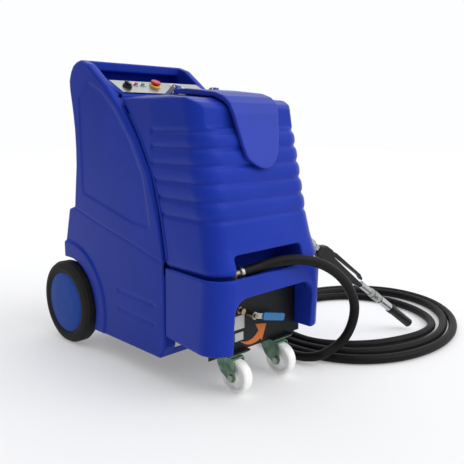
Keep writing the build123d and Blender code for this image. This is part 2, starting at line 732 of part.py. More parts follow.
MOTOR_X, MOTOR_Z, MOTOR_R = -85, 206, 46
with BuildPart() as pump_motor:
    with BuildSketch(Plane.XZ.offset(0)):
        with Locations((MOTOR_X, MOTOR_Z)):
            Circle(MOTOR_R)
    extrude(amount=120)
    with Locations((MOTOR_X, -60, 145)):
        Box(70, 90, 46)
    with BuildSketch(Plane.XZ.offset(20)):
        with Locations((MOTOR_X, MOTOR_Z)):
            Circle(8 + RUNNING_FIT)
    extrude(amount=100, mode=Mode.SUBTRACT)
pump_motor.part.label = "pump_motor"
export_step(pump_motor.part, "parts/pump_motor.step")

with BuildPart() as pump_shaft:
    with BuildSketch(Plane.XZ.offset(24)):
        with Locations((MOTOR_X, MOTOR_Z)):
            Circle(8)
    extrude(amount=150)
    with BuildSketch(Plane.XZ.offset(124)):
        with Locations((MOTOR_X, MOTOR_Z)):
            Circle(18)
    extrude(amount=16)
pump_shaft.part.label = "pump_shaft"
export_step(pump_shaft.part, "parts/pump_shaft.step")

with BuildPart() as pump_head:
    with BuildSketch(Plane.XZ.offset(146)):
        with Locations((MOTOR_X, MOTOR_Z)):
            RectangleRounded(78, 78, 10)
    extrude(amount=62)
    with Locations((MOTOR_X, -177, 145.5)):
        Box(60, 50, 47)
    with BuildSketch(Plane.XZ.offset(140)):
        with Locations((MOTOR_X, MOTOR_Z)):
            Circle(8 + RUNNING_FIT)
    extrude(amount=36, mode=Mode.SUBTRACT)
pump_head.part.label = "pump_head"
export_step(pump_head.part, "parts/pump_head.step")


def bent_tube(points, corner, radius):
    """A pipe along straight runs with equal bends; the first run sets its end face."""
    with BuildPart() as pipe:
        with BuildLine() as route:
            FilletPolyline(*points, radius=corner)
        with BuildSketch(Plane(origin=points[0], z_dir=Vector(*points[1]) - Vector(*points[0]))):
            Circle(radius)
        sweep(path=route.line)
    return pipe.part


suction_pipe = bent_tube([(-85, -60, 325), (-85, -60, 268), (-85, -177, 268), (-85, -177, 245)], 12, 7)
feed_pipe = bent_tube([(-46, -185, 206), (-12, -185, 206), (-12, 31, 206)], 16, 6)
steam_pipe = bent_tube([(OUTLET_X, OUTLET_Y, 330), (OUTLET_X, OUTLET_Y, 306), (OUTLET_X, -20, 306), (-60, 20, 306),
                        (-50, 45, 306)], 12, 7)
drain_pipe = bent_tube([(VALVE_X, 41, 268), (VALVE_X, VALVE_Y, 268), (VALVE_X, VALVE_Y, VALVE_Z + 30)], 12, 8)
with BuildPart() as pipework:
    add([suction_pipe, feed_pipe, steam_pipe, drain_pipe])
pipework.part.label = "pipework"
export_step(pipework.part, "parts/pipework.step")

# ---------------------------------------------------------------- service door and power inlet
with BuildPart() as service_door:
    with BuildSketch(Plane.XZ.offset(-338)):
        with Locations((0, 205)):
            RectangleRounded(250, 180, 14)
    extrude(amount=-3)
    with BuildSketch(Plane.XZ.offset(-341)):
        with Locations((0, 205)):
            with GridLocations(226, 156, 2, 2):
                Circle(6)
    extrude(amount=-2.5)
service_door.part.label = "service_door"
export_step(service_door.part, "parts/service_door.step")

with BuildPart() as power_inlet:
    with BuildSketch(Plane.XZ.offset(-240)):
        with Locations((110, 560)):
            Circle(20.8)
    extrude(amount=-23)
    with BuildSketch(Plane.XZ.offset(-262.2)):
        with Locations((110, 560)):
            RectangleRounded(60, 60, 6)
    extrude(amount=-9)
    with BuildSketch(Plane.XZ.offset(-271)):
        with Locations((110, 560)):
            Circle(24)
    extrude(amount=-16)
    with BuildSketch(Plane.XZ.offset(-256)):
        with Locations((110, 560)):
            Circle(20)
    extrude(amount=-40, mode=Mode.SUBTRACT)
    with BuildSketch(Plane.XZ.offset(-254)):
        with Locations((110, 560)):
            with PolarLocations(11, 3):
                Circle(3)
    extrude(amount=-14)
power_inlet.part.label = "power_inlet"
export_step(power_inlet.part, "parts/power_inlet.step")

# ---------------------------------------------------------------- swivel casters
with BuildPart() as caster_plates:
    for side, _ in SIDES:
        with BuildSketch(Plane.XY.offset(DECK_Z - 3)):
            with Locations((side * CASTER_X, CASTER_Y)):
                RectangleRounded(84, 80, 6)
        extrude(amount=3)
        with BuildSketch(Plane.XY.offset(CROWN_Z + 5.8)):
            with Locations((side * CASTER_X, CASTER_Y)):
                Circle(27)
        extrude(amount=DECK_Z - 3 - CROWN_Z - 5.8)
        with BuildSketch(Plane.XY.offset(CROWN_Z - 5.5)):
            with Locations((side * CASTER_X, CASTER_Y)):
                Circle(6)
        extrude(amount=12)
        with BuildSketch(Plane.XY.offset(CROWN_Z - 5.5)):
            with Locations((side * CASTER_X, CASTER_Y)):
                RegularPolygon(10, 6)
        extrude(amount=5)
caster_plates.part.label = "caster_plates"
export_step(caster_plates.part, "parts/caster_plates.step")

for side, name in SIDES:
    x = side * CASTER_X
    wheel_y = CASTER_Y - CASTER_TRAIL
    with BuildPart() as caster_fork:
        # crown, turning under the plate
        with BuildSketch(Plane.XY.offset(CROWN_Z)):
            with Locations((x, CASTER_Y - 4)):
                RectangleRounded(2 * CASTER_LEG + 6, 66, 8)
        extrude(amount=3)
        with BuildSketch(Plane.XY.offset(CROWN_Z + 3)):
            with Locations((x, CASTER_Y)):
                Circle(25)
        extrude(amount=2.4)
        # legs, narrowing down to the wheel bolt
        for leg in (-1, 1):
            with BuildSketch(Plane.YZ.offset(x + leg * CASTER_LEG)):
                with BuildLine():
                    Polyline((-331, CROWN_Z + 1), (-331, 80), (-344, 58), (-380, 37), (-389, 35), (-398, 38), (-402, 50),
                             (-399, 78), (-396, CROWN_Z + 1), (-331, CROWN_Z + 1))
                make_face()
                with Locations((wheel_y, CASTER_R)):
                    Circle(CASTER_BOLT_R, mode=Mode.SUBTRACT)
            extrude(amount=leg * 3)
        with Locations((x, CASTER_Y, CROWN_Z)):
            Cylinder(6 + RUNNING_FIT, 40, mode=Mode.SUBTRACT)
    caster_fork.part.label = f"caster_fork_{name}"
    export_step(caster_fork.part, f"parts/caster_fork_{name}.step")

    with BuildPart() as caster_wheel:
        with BuildSketch(Plane(origin=(x, wheel_y, CASTER_R), x_dir=(0, 1, 0), z_dir=(0, 0, 1))):
            # half section: x along Y from the wheel's centre, y along -X across the wheel
            with BuildLine():
                Polyline((CASTER_BOLT_R + RUNNING_FIT, -18), (15, -18), (16, -10), (34, -9), (38, -CASTER_W / 2),
                         (46, -CASTER_W / 2), (CASTER_R, -10), (CASTER_R, 10), (46, CASTER_W / 2), (38, CASTER_W / 2),
                         (34, 9), (16, 10), (15, 18), (CASTER_BOLT_R + RUNNING_FIT, 18),
                         (CASTER_BOLT_R + RUNNING_FIT, -18))
            make_face()
        revolve(axis=Axis((x, wheel_y, CASTER_R), (1, 0, 0)))
    caster_wheel.part.label = f"caster_wheel_{name}"
    export_step(caster_wheel.part, f"parts/caster_wheel_{name}.step")

    with BuildPart() as caster_bolt:
        with BuildSketch(Plane.YZ.offset(x - 29)):
            with Locations((wheel_y, CASTER_R)):
                Circle(CASTER_BOLT_R)
        extrude(amount=58)
        for head in (-1, 1):
            with BuildSketch(Plane.YZ.offset(x + head * (CASTER_LEG + 3))):
                with Locations((wheel_y, CASTER_R)):
                    RegularPolygon(10, 6)
            extrude(amount=head * 6)
    caster_bolt.part.label = f"caster_bolt_{name}"
    export_step(caster_bolt.part, f"parts/caster_bolt_{name}.step")

# ---------------------------------------------------------------- rear wheels
for side, name in SIDES:
    wheel_plane = Plane(origin=(0, WHEEL_Y, WHEEL_R), x_dir=(0, 1, 0), z_dir=(0, 0, -side))
    # half sections: x outwards from the axle, y along the axle away from the machine
    with BuildPart() as tyre:
        with BuildSketch(wheel_plane):
            with BuildLine():
                Polyline((HUB_R, WHEEL_IN + 6), (120, WHEEL_IN), (136, WHEEL_IN + 4), (WHEEL_R, WHEEL_IN + 15),
                         (WHEEL_R, WHEEL_OUT - 15), (136, WHEEL_OUT - 4), (120, WHEEL_OUT), (HUB_R, WHEEL_OUT - 5),
                         (HUB_R, WHEEL_IN + 6))
            make_face()
        revolve(axis=Axis((0, WHEEL_Y, WHEEL_R), (1, 0, 0)))
    tyre.part.label = f"tyre_{name}"
    export_step(tyre.part, f"parts/tyre_{name}.step")

    with BuildPart() as wheel_hub:
        with BuildSketch(wheel_plane):
            with BuildLine():
                Polyline((AXLE_R + RUNNING_FIT, 184), (24, 184), (26, 200), (90, 202), (96, 188), (HUB_R, 188),
                         (HUB_R, 233), (96, 233), (90, 212), (26, 212), (24, 226), (AXLE_R + RUNNING_FIT, 226),
                         (AXLE_R + RUNNING_FIT, 184))
            make_face()
        revolve(axis=Axis((0, WHEEL_Y, WHEEL_R), (1, 0, 0)))
    wheel_hub.part.label = f"wheel_hub_{name}"
    export_step(wheel_hub.part, f"parts/wheel_hub_{name}.step")

    with BuildPart() as hub_disc:
        with BuildSketch(wheel_plane):
            with BuildLine():
                Polyline((0, 232), (84, 232), (88, 233), (HUB_R - 1, 233), (HUB_R - 1, 235), (90, 237), (60, 239),
                         (0, 240), (0, 232))
            make_face()
        revolve(axis=Axis((0, WHEEL_Y, WHEEL_R), (1, 0, 0)))
    hub_disc.part.label = f"hub_disc_{name}"
    export_step(hub_disc.part, f"parts/hub_disc_{name}.step")

# ---------------------------------------------------------------- hose outlet
with BuildPart() as hose_outlet_elbow:
    with BuildSketch(Plane.XY.offset(330)):
        with Locations((OUTLET_X, OUTLET_Y)):
            RegularPolygon(14, 6)
    extrude(amount=10)
    with BuildSketch(Plane.XY.offset(340)):
        with Locations((OUTLET_X, OUTLET_Y)):
            Circle(11)
    extrude(amount=OUTLET_Z - 340)
    with Locations((OUTLET_X, OUTLET_Y, OUTLET_Z)):
        Sphere(11)
    with BuildSketch(Plane.YZ.offset(OUTLET_X)):
        with Locations((OUTLET_Y, OUTLET_Z)):
            Circle(11)
    extrude(amount=16)
hose_outlet_elbow.part.label = "hose_outlet_elbow"
export_step(hose_outlet_elbow.part, "parts/hose_outlet_elbow.step")

with BuildPart() as hose_ferrule:
    with BuildSketch(Plane.YZ.offset(OUTLET_X + 16)):
        with Locations((OUTLET_Y, OUTLET_Z)):
            Circle(17)
    extrude(amount=12)
    chamfer(hose_ferrule.edges(), 1.5)
hose_ferrule.part.label = "hose_ferrule"
export_step(hose_ferrule.part, "parts/hose_ferrule.step")

# ---------------------------------------------------------------- trigger gun
# It leans with its inlet up beside the machine and its nozzle on the floor.
GUN_REAR, GUN_TIP = Vector(335, -315, 354), Vector(743, -452, 22)
gun_axis = (GUN_TIP - GUN_REAR).normalized()
gun_up = (Vector(0, 0, 1) - gun_axis * gun_axis.Z).normalized()
gun_side = gun_up.cross(gun_axis)
gun_round = Plane(origin=GUN_REAR, x_dir=gun_up, z_dir=gun_axis)        # sections across the gun
gun_profile = Plane(origin=GUN_REAR, x_dir=gun_axis, z_dir=-gun_side)   # side view: x along it, y up
TRIGGER_AT = (66, 16)

with BuildPart() as gun_body:
    with BuildSketch(gun_profile):
        with BuildLine():
            Polyline((20, -14), (30, -21), (78, -23), (200, -20), (250, -14), (254, -9), (254, 1), (94, 12), (84, 14),
                     (80, 22), (70, 28), (40, 27), (24, 16), (20, 8), (20, -14))
        make_face()
    extrude(amount=16, both=True)
    fillet(gun_body.faces().filter_by(lambda f: abs(f.normal_at().dot(gun_side)) > 0.99).edges(), 5)
    # slot for the trigger lever, and the pin across it
    with BuildSketch(gun_profile):
        with Locations((92, 20)):
            Rectangle(72, 30)
    extrude(amount=9.4, both=True, mode=Mode.SUBTRACT)
    with BuildSketch(gun_profile):
        with Locations(TRIGGER_AT):
            Circle(3)
    extrude(amount=15, both=True)
gun_body.part.label = "gun_body"
export_step(gun_body.part, "parts/gun_body.step")

with BuildPart() as gun_trigger:
    with BuildSketch(gun_profile):
        with Locations(TRIGGER_AT):
            Circle(8)
        with BuildLine():
            Polyline((66, 24), (90, 29), (224, 25), (240, 19), (246, 12), (238, 12), (222, 17), (90, 17), (68, 10),
                     (66, 24))
        make_face()
        with Locations(TRIGGER_AT):
            Circle(3 + RUNNING_FIT, mode=Mode.SUBTRACT)
    extrude(amount=8.9, both=True)
gun_trigger.part.label = "gun_trigger"
export_step(gun_trigger.part, "parts/gun_trigger.step")

# Turned pieces on the gun's axis: node name, then (start, length, radius, sides; 0 is round) of each step.
TURNED = {
    "gun_inlet": [(-35, 30, 17, 0), (-5, 10, 10, 0), (5, 15, 13, 6)],
    "lance_tube": [(254, 52, 12, 0), (306, 60, 9, 0)],
    "lock_nut": [(308, 16, 15, 6), (326, 9, 15.5, 0), (337, 9, 15.5, 0), (348, 14, 15, 6)],
    "lance_ferrule": [(366, 60, 14.5, 0)],
    "spray_nozzle": [(426, 16, 17.5, 0), (442, 101.5, 16, 0)],
}
for name, steps in TURNED.items():
    with BuildPart() as turned:
        for start, length, radius, sides in steps:
            with BuildSketch(gun_round.offset(start)):
                if sides:
                    RegularPolygon(radius, sides)
                else:
                    Circle(radius)
            extrude(amount=length)
        if name == "lock_nut":
            with BuildSketch(gun_round.offset(306)):
                Circle(13)
            extrude(amount=58)
            with BuildSketch(gun_round.offset(300)):
                Circle(9)
            extrude(amount=80, mode=Mode.SUBTRACT)
        if name == "spray_nozzle":
            with BuildSketch(gun_round.offset(470)):
                Circle(6)
            extrude(amount=90, mode=Mode.SUBTRACT)
    turned.part.label = name
    export_step(turned.part, f"parts/{name}.step")

# ---------------------------------------------------------------- hose
# The lead from the outlet to the coil, and the tail from the coil up to the gun. Each has its own route.
LEAD = [(OUTLET_X + 28, OUTLET_Y, OUTLET_Z), (-56, -420, 361), (4, -446, 376), (66, -480, 379), (128, -500, 361),
        (188, -509, 329), (243, -511, 287), (287, -509, 235), (313, -503, 187), (318, -493, 134), (302, -479, 84),
        (266, -460, 48), (214, -433, 32)]
TAIL = [(322, -244, 44), (323, -184, 49), (317, -126, 66), (303, -75, 98), (284, -36, 143), (266, -10, 196),
        (251, 4, 253), (243, 4, 313), (241, -10, 371), (240, -42, 424), (240, -88, 462), (240, -146, 474),
        (239.2, -196, 464), (239.2, -236.1, 449.1), (252.2, -270.9, 427.4), (276.4, -295.4, 401.7),
        tuple(GUN_REAR - gun_axis * 35)]


def bend_radii(points):
    """Arc radius at each inner point: 0.45 of the shorter run over the tangent of half the turn."""
    corners = [Vector(*p) for p in points]
    radii = []
    for before, here, after in zip(corners, corners[1:], corners[2:]):
        turn = (here - before).get_angle(after - here)
        radii.append(0.45 * min((here - before).length, (after - here).length) / tan(radians(turn) / 2))
    return radii


for name, points in (("hose_lead", LEAD), ("hose_tail", TAIL)):
    radii = bend_radii(points)
    with BuildPart() as hose:
        with BuildLine() as route:
            FilletPolyline(*points, radius=radii)
        with BuildSketch(Plane(origin=points[0], z_dir=Vector(*points[1]) - Vector(*points[0]))):
            Circle(HOSE_D / 2)
        sweep(path=route.line)
    hose.part.label = name
    export_step(hose.part, f"parts/{name}.step")
    length = sum(edge.length for edge in route.edges())
    share = hose.part.volume / (3.14159265 * (HOSE_D / 2) ** 2 * length)
    print(f"{name}: {length:.0f} mm, volume {share:.4f} of section x length, radii", [round(r) for r in radii])

# The loose coil on the floor: its outer shape, a flat oval ring.
COIL_TILT = 22
coil_plane = Plane(origin=(665, -260, 0), x_dir=(cos(radians(COIL_TILT)), sin(radians(COIL_TILT)), 0), z_dir=(0, 0, 1))
with BuildPart() as hose_coil:
    with BuildSketch(coil_plane):
        Ellipse(490, 375)
        with Locations((-10, 2)):
            Ellipse(268, 238, mode=Mode.SUBTRACT)
    extrude(amount=60)
hose_coil.part.label = "hose_coil"
export_step(hose_coil.part, "parts/hose_coil.step")
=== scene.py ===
"""Looks of the carpet cleaner: a blue rotomoulded steam cleaner with a coiled hose and a trigger gun.

Metres, +Z up, the machine's front faces -Y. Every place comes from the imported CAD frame.
"""
import json
from math import cos, exp, pi, radians, sin, sqrt

import bmesh
import bpy
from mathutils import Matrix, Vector


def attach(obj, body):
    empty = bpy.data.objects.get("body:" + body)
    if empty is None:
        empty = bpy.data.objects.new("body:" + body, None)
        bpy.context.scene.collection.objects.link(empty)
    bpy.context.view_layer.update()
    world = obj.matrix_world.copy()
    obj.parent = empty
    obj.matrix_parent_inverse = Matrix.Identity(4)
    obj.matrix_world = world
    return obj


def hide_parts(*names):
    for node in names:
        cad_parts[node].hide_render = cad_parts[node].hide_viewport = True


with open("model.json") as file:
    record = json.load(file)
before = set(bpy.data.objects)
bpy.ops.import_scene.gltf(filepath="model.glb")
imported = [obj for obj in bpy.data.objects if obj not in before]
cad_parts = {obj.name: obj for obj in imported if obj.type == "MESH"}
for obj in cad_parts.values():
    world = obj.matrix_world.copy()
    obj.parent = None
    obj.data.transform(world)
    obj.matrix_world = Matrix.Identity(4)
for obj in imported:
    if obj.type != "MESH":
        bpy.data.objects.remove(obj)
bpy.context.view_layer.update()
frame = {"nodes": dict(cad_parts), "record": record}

NODES = frame["nodes"]
MACHINE = "machine"
SIDES = ((-1, "left"), (1, "right"))

# ================================================================ camera, light and floor
CAMERA_AT = Vector((-1.2219, -1.5247, 0.7547))
CAMERA_AZIMUTH, CAMERA_ELEVATION = radians(-44.297), radians(10.296)
LENS, SENSOR = 46.535, 36.0

camera_data = bpy.data.cameras.new("camera")
camera_data.sensor_width = SENSOR
camera_data.lens = LENS
camera = bpy.data.objects.new("camera", camera_data)
bpy.context.scene.collection.objects.link(camera)
back = Vector((sin(CAMERA_AZIMUTH) * cos(CAMERA_ELEVATION), -cos(CAMERA_AZIMUTH) * cos(CAMERA_ELEVATION),
               sin(CAMERA_ELEVATION)))
camera.location = CAMERA_AT
camera.rotation_mode = "QUATERNION"
camera.rotation_quaternion = (-back).to_track_quat("-Z", "Y")
bpy.context.scene.camera = camera
bpy.context.scene.view_settings.view_transform = "Standard"


def sun(name, toward, strength, spread):
    """A very wide sun, as soft as a large studio box, shining along a direction."""
    data = bpy.data.lights.new(name, "SUN")
    data.energy = strength
    data.angle = radians(spread)
    light = bpy.data.objects.new(name, data)
    light.rotation_mode = "QUATERNION"
    light.rotation_quaternion = Vector(toward).to_track_quat("-Z", "Y")
    bpy.context.scene.collection.objects.link(light)


sun("key", (-0.30, 0.66, -0.62), 1.15, 46)
sun("top", (0.30, 0.10, -1.0), 0.45, 70)

# A studio that is bright all round and darker only on the machine's left.
DARKEST_X, BRIGHTEST_X = -0.95, 0.15
DARK_STRENGTH, BRIGHT_STRENGTH = 0.20, 1.0

world = bpy.data.worlds.new("world")
bpy.context.scene.world = world
world.use_nodes = True
world_nodes, world_links = world.node_tree.nodes, world.node_tree.links
world_direction = world_nodes.new("ShaderNodeTexCoord")
world_axes = world_nodes.new("ShaderNodeSeparateXYZ")
world_range = world_nodes.new("ShaderNodeMapRange")
world_range.interpolation_type = "SMOOTHSTEP"
world_range.inputs["From Min"].default_value = DARKEST_X
world_range.inputs["From Max"].default_value = BRIGHTEST_X
world_range.inputs["To Min"].default_value = DARK_STRENGTH
world_range.inputs["To Max"].default_value = BRIGHT_STRENGTH
world_links.new(world_direction.outputs["Generated"], world_axes.inputs["Vector"])
world_links.new(world_axes.outputs["X"], world_range.inputs["Value"])
world_links.new(world_range.outputs["Result"], world_nodes["Background"].inputs["Strength"])
world_nodes["Background"].inputs["Color"].default_value = (0.985, 0.99, 1.0, 1)


# ================================================================ materials
def new_material(name):
    """An empty material: the material itself, its nodes, its links and its Principled shader."""
    made = bpy.data.materials.new(name)
    made.use_nodes = True
    tree = made.node_tree
    return made, tree.nodes, tree.links, tree.nodes["Principled BSDF"]


def noise_texture(nodes, links, coordinates, scale, detail=3.0, roughness=0.55, stretch=None):
    """A noise texture on object coordinates, in features per metre."""
    texture = nodes.new("ShaderNodeTexNoise")
    texture.inputs["Scale"].default_value = scale
    texture.inputs["Detail"].default_value = detail
    texture.inputs["Roughness"].default_value = roughness
    source = coordinates.outputs["Object"]
    if stretch:
        mapping = nodes.new("ShaderNodeMapping")
        mapping.inputs["Scale"].default_value = stretch
        links.new(source, mapping.inputs["Vector"])
        source = mapping.outputs["Vector"]
    links.new(source, texture.inputs["Vector"])
    return texture


def tint(colour, factor):
    """A colour made lighter or darker, as a shader colour."""
    return tuple(min(1.0, c * factor) for c in colour[:3]) + (1.0,)


MOTTLE_RANGE = (0.32, 0.68)     # the part of the noise that a mottled colour spans


def surface(name, colour, roughness, metallic=0.0, grain=250.0, grain_depth=0.0003, mottle=6.0, contrast=0.12,
            spread=0.08, edge=0.0, stretch=None, specular=0.5, second=None, gloss_tint=None):
    """A procedural material: mottled colour, uneven roughness, a fine grain in relief and softened edges.

    Grain and mottle are features per metre, grain_depth and edge are metres, contrast is the share by which
    the mottled colour goes darker and lighter, and second is a colour that it goes over to.
    """
    made, nodes, links, shader = new_material(name)
    coordinates = nodes.new("ShaderNodeTexCoord")
    broad = noise_texture(nodes, links, coordinates, mottle, 4.0)
    ramp = nodes.new("ShaderNodeValToRGB")
    ramp.color_ramp.elements[0].position, ramp.color_ramp.elements[1].position = MOTTLE_RANGE
    ramp.color_ramp.elements[0].color = tint(colour, 1 - contrast)
    ramp.color_ramp.elements[1].color = tint(second or colour, 1 + contrast)
    links.new(broad.outputs["Fac"], ramp.inputs["Fac"])
    links.new(ramp.outputs["Color"], shader.inputs["Base Color"])
    fine = noise_texture(nodes, links, coordinates, grain, 2.0, stretch=stretch)
    spread_map = nodes.new("ShaderNodeMapRange")
    spread_map.inputs["To Min"].default_value = max(0.02, roughness - spread)
    spread_map.inputs["To Max"].default_value = min(1.0, roughness + spread)
    links.new(fine.outputs["Fac"] if metallic else broad.outputs["Fac"], spread_map.inputs["Value"])
    links.new(spread_map.outputs["Result"], shader.inputs["Roughness"])
    bump = nodes.new("ShaderNodeBump")
    bump.inputs["Strength"].default_value = 1.0
    bump.inputs["Distance"].default_value = grain_depth
    links.new(fine.outputs["Fac"], bump.inputs["Height"])
    if edge:
        soft = nodes.new("ShaderNodeBevel")
        soft.samples = 4
        soft.inputs["Radius"].default_value = edge
        links.new(soft.outputs["Normal"], bump.inputs["Normal"])
    links.new(bump.outputs["Normal"], shader.inputs["Normal"])
    shader.inputs["Metallic"].default_value = metallic
    shader.inputs["Specular IOR Level"].default_value = specular
    if gloss_tint:
        shader.inputs["Specular Tint"].default_value = (*gloss_tint, 1)
    return made


BLUE = (0.012, 0.034, 0.335)
BLUE_GLOSS = (0.36, 0.42, 1.0)
LOOKS = {
    "shell_blue": surface("rotomoulded_blue", BLUE, 0.31, grain=420, grain_depth=0.00008, contrast=0.07,
                          specular=0.16, gloss_tint=BLUE_GLOSS),
    "lid_blue": surface("lid_blue", (0.024, 0.046, 0.36), 0.42, grain=420, grain_depth=0.00008, contrast=0.07,
                        specular=0.36, gloss_tint=BLUE_GLOSS),
    "wheel_blue": surface("wheel_blue", (0.008, 0.055, 0.33), 0.36, grain=420, grain_depth=0.00008, edge=0.002,
                          contrast=0.07, specular=0.08, gloss_tint=(0.3, 0.6, 1.0)),
    "frame_black": surface("frame_black", (0.005, 0.006, 0.007), 0.5, grain=700, grain_depth=0.0001,
                           edge=0.0008, contrast=0.25, specular=0.25),
    "steel": surface("brushed_steel", (0.50, 0.52, 0.52), 0.3, 1.0, grain=900, grain_depth=0.00002,
                     stretch=(0.02, 1, 1), edge=0.0006),
    "zinc": surface("zinc_plate", (0.40, 0.42, 0.40), 0.38, 1.0, grain=500, grain_depth=0.00003, edge=0.0006),
    "zinc_green": surface("green_passivate", (0.095, 0.185, 0.12), 0.4, 0.5, grain=160, grain_depth=0.00004,
                          mottle=45, contrast=0.3, edge=0.0012, second=(0.15, 0.26, 0.18)),
    "brass": surface("brass", (0.36, 0.28, 0.17), 0.36, 1.0, grain=600, grain_depth=0.00003, mottle=60,
                     edge=0.0006),
    "nylon": surface("white_nylon", (0.88, 0.88, 0.86), 0.42, grain=500, grain_depth=0.00006, mottle=40,
                     contrast=0.05, edge=0.0015),
    "tyre": surface("tyre_rubber", (0.010, 0.010, 0.011), 0.7, grain=600, grain_depth=0.0001, mottle=30,
                    contrast=0.3, edge=0.002, specular=0.25),
    "hose_rubber": surface("hose_rubber", (0.005, 0.005, 0.0055), 0.5, grain=700, grain_depth=0.0002, mottle=22,
                           contrast=0.4, specular=0.14),
    "seal_rubber": surface("seal_rubber", (0.02, 0.02, 0.02), 0.7, grain=600, grain_depth=0.0001),
    "black_plastic": surface("black_plastic", (0.007, 0.007, 0.008), 0.42, grain=1200, grain_depth=0.00008,
                             mottle=30, contrast=0.3, edge=0.0012, specular=0.35),
    "blue_vinyl": surface("blue_vinyl", (0.008, 0.13, 0.34), 0.38, grain=500, grain_depth=0.0001, mottle=60,
                          edge=0.002),
    "red_plastic": surface("red_plastic", (0.50, 0.012, 0.018), 0.3, grain=500, grain_depth=0.00004, mottle=80,
                           contrast=0.06, edge=0.001),
    "yellow_plastic": surface("yellow_plastic", (0.80, 0.52, 0.03), 0.4, grain=500, grain_depth=0.00004,
                              mottle=80, contrast=0.06, edge=0.001),
    "green_plastic": surface("green_plastic", (0.03, 0.36, 0.08), 0.3, grain=500, grain_depth=0.00004,
                             mottle=80, contrast=0.06, edge=0.001),
    "orange_film": surface("orange_film", (0.52, 0.12, 0.01), 0.5, grain=300, grain_depth=0.00004, mottle=50,
                           contrast=0.1),
    "white_film": surface("white_film", (0.42, 0.42, 0.40), 0.5, grain=300, grain_depth=0.00004, mottle=90,
                          contrast=0.06),
    "chrome": surface("chrome", (0.78, 0.78, 0.79), 0.12, 1.0, grain=300, grain_depth=0.00001, spread=0.05,
                      edge=0.0005),
    "blue_grey": surface("blue_grey_anodised", (0.10, 0.12, 0.20), 0.35, 0.7, grain=600, grain_depth=0.00004,
                         mottle=60, edge=0.0008),
    "motor_grey": surface("motor_grey", (0.20, 0.21, 0.22), 0.5, 0.2, grain=500, grain_depth=0.0001,
                          edge=0.001),
    "silver": surface("turned_aluminium", (0.52, 0.53, 0.54), 0.3, 1.0, grain=700, grain_depth=0.00003,
                      edge=0.0006),
}


def clear_plastic():
    """The gauge's window."""
    made, nodes, links, shader = new_material("clear_plastic")
    coordinates = nodes.new("ShaderNodeTexCoord")
    fine = noise_texture(nodes, links, coordinates, 60)
    bump = nodes.new("ShaderNodeBump")
    bump.inputs["Distance"].default_value = 0.00002
    links.new(fine.outputs["Fac"], bump.inputs["Height"])
    links.new(bump.outputs["Normal"], shader.inputs["Normal"])
    shader.inputs["Base Color"].default_value = (0.95, 0.97, 1.0, 1)
    shader.inputs["Roughness"].default_value = 0.05
    shader.inputs["Transmission Weight"].default_value = 1.0
    shader.inputs["IOR"].default_value = 1.2
    return made


LOOKS["clear_plastic"] = clear_plastic()

# Every carried-over CAD node takes the look of its own material slot.
SLOT_OF = {row["node"]: row["material_slot"] for row in frame["record"]["subparts"]}
for node_name, node in NODES.items():
    node.data.materials.clear()
    node.data.materials.append(LOOKS[SLOT_OF[node_name]])

# ---------------------------------------------------------------- floor
FLOOR_HALF, FLOOR_Z = 14, -0.0002
FLOOR_GLOW = 0.26               # over-lit studio paper, so that shadows stay pale
floor_mesh = bpy.data.meshes.new("floor")
floor_corners = [(x * FLOOR_HALF, y * FLOOR_HALF, FLOOR_Z) for x, y in ((-1, -1), (1, -1), (1, 1), (-1, 1))]
floor_mesh.from_pydata(floor_corners, [], [(0, 1, 2, 3)])
floor = bpy.data.objects.new("floor", floor_mesh)
bpy.context.scene.collection.objects.link(floor)
floor_paper = surface("floor_paper", (0.64, 0.64, 0.645), 0.8, grain=60, grain_depth=0.0001, mottle=1.5,
                      contrast=0.006, specular=0.1)
floor_shader = floor_paper.node_tree.nodes["Principled BSDF"]
floor_shader.inputs["Emission Color"].default_value = (1, 1, 1, 1)
floor_shader.inputs["Emission Strength"].default_value = FLOOR_GLOW
floor_mesh.materials.append(floor_paper)


# ================================================================ rotomoulded shells
def settle(piece):
    """Turns an object's modifiers into its mesh."""
    bpy.context.view_layer.update()
    shaped = bpy.data.meshes.new_from_object(piece.evaluated_get(bpy.context.evaluated_depsgraph_get()))
    piece.modifiers.clear()
    piece.data = shaped


def prism(into, outline, low, high):
    """Adds an upright prism over an outline of (x, y, lift) points to a bmesh."""
    rings = [[into.verts.new((x, y, z + lift)) for x, y, lift in outline] for z in (low, high)]
    made = [into.faces.new(list(reversed(rings[0]))), into.faces.new(rings[1])]
    for i in range(len(outline)):
        j = (i + 1) % len(outline)
        made.append(into.faces.new((rings[0][i], rings[0][j], rings[1][j], rings[1][i])))
    bmesh.ops.recalc_face_normals(into, faces=made)


def moulded(name, nodes, body, voxel=0.0035, rounds=8, faces=60000, shape=None, backing=()):
    """A soft-edged copy of CAD shells: remeshed in voxels, shaped by a rule, smoothed and thinned out.

    Backing holds prisms (outline, low, high) that thicken a thin wall from inside.
    """
    joined = bmesh.new()
    for node in nodes:
        joined.from_mesh(NODES[node].data)
    for outline, low, high in backing:
        prism(joined, outline, low, high)
    mesh = bpy.data.meshes.new(name)
    joined.to_mesh(mesh)
    joined.free()
    piece = bpy.data.objects.new(name, mesh)
    bpy.context.scene.collection.objects.link(piece)
    remesh = piece.modifiers.new("remesh", "REMESH")
    remesh.mode = "VOXEL"
    remesh.voxel_size = voxel
    settle(piece)
    smooth = piece.modifiers.new("smooth", "SMOOTH")
    smooth.factor = 0.5
    smooth.iterations = rounds
    settle(piece)
    if shape:
        for vertex in piece.data.vertices:
            vertex.co = shape(vertex.co)
    thin = piece.modifiers.new("thin", "DECIMATE")
    thin.ratio = min(1.0, faces / max(1, 2 * len(piece.data.polygons)))
    settle(piece)
    piece.data.shade_smooth()
    piece.data.materials.clear()
    piece.data.materials.append(LOOKS[SLOT_OF[nodes[0]]])
    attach(piece, body)
    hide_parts(*nodes)
    return piece


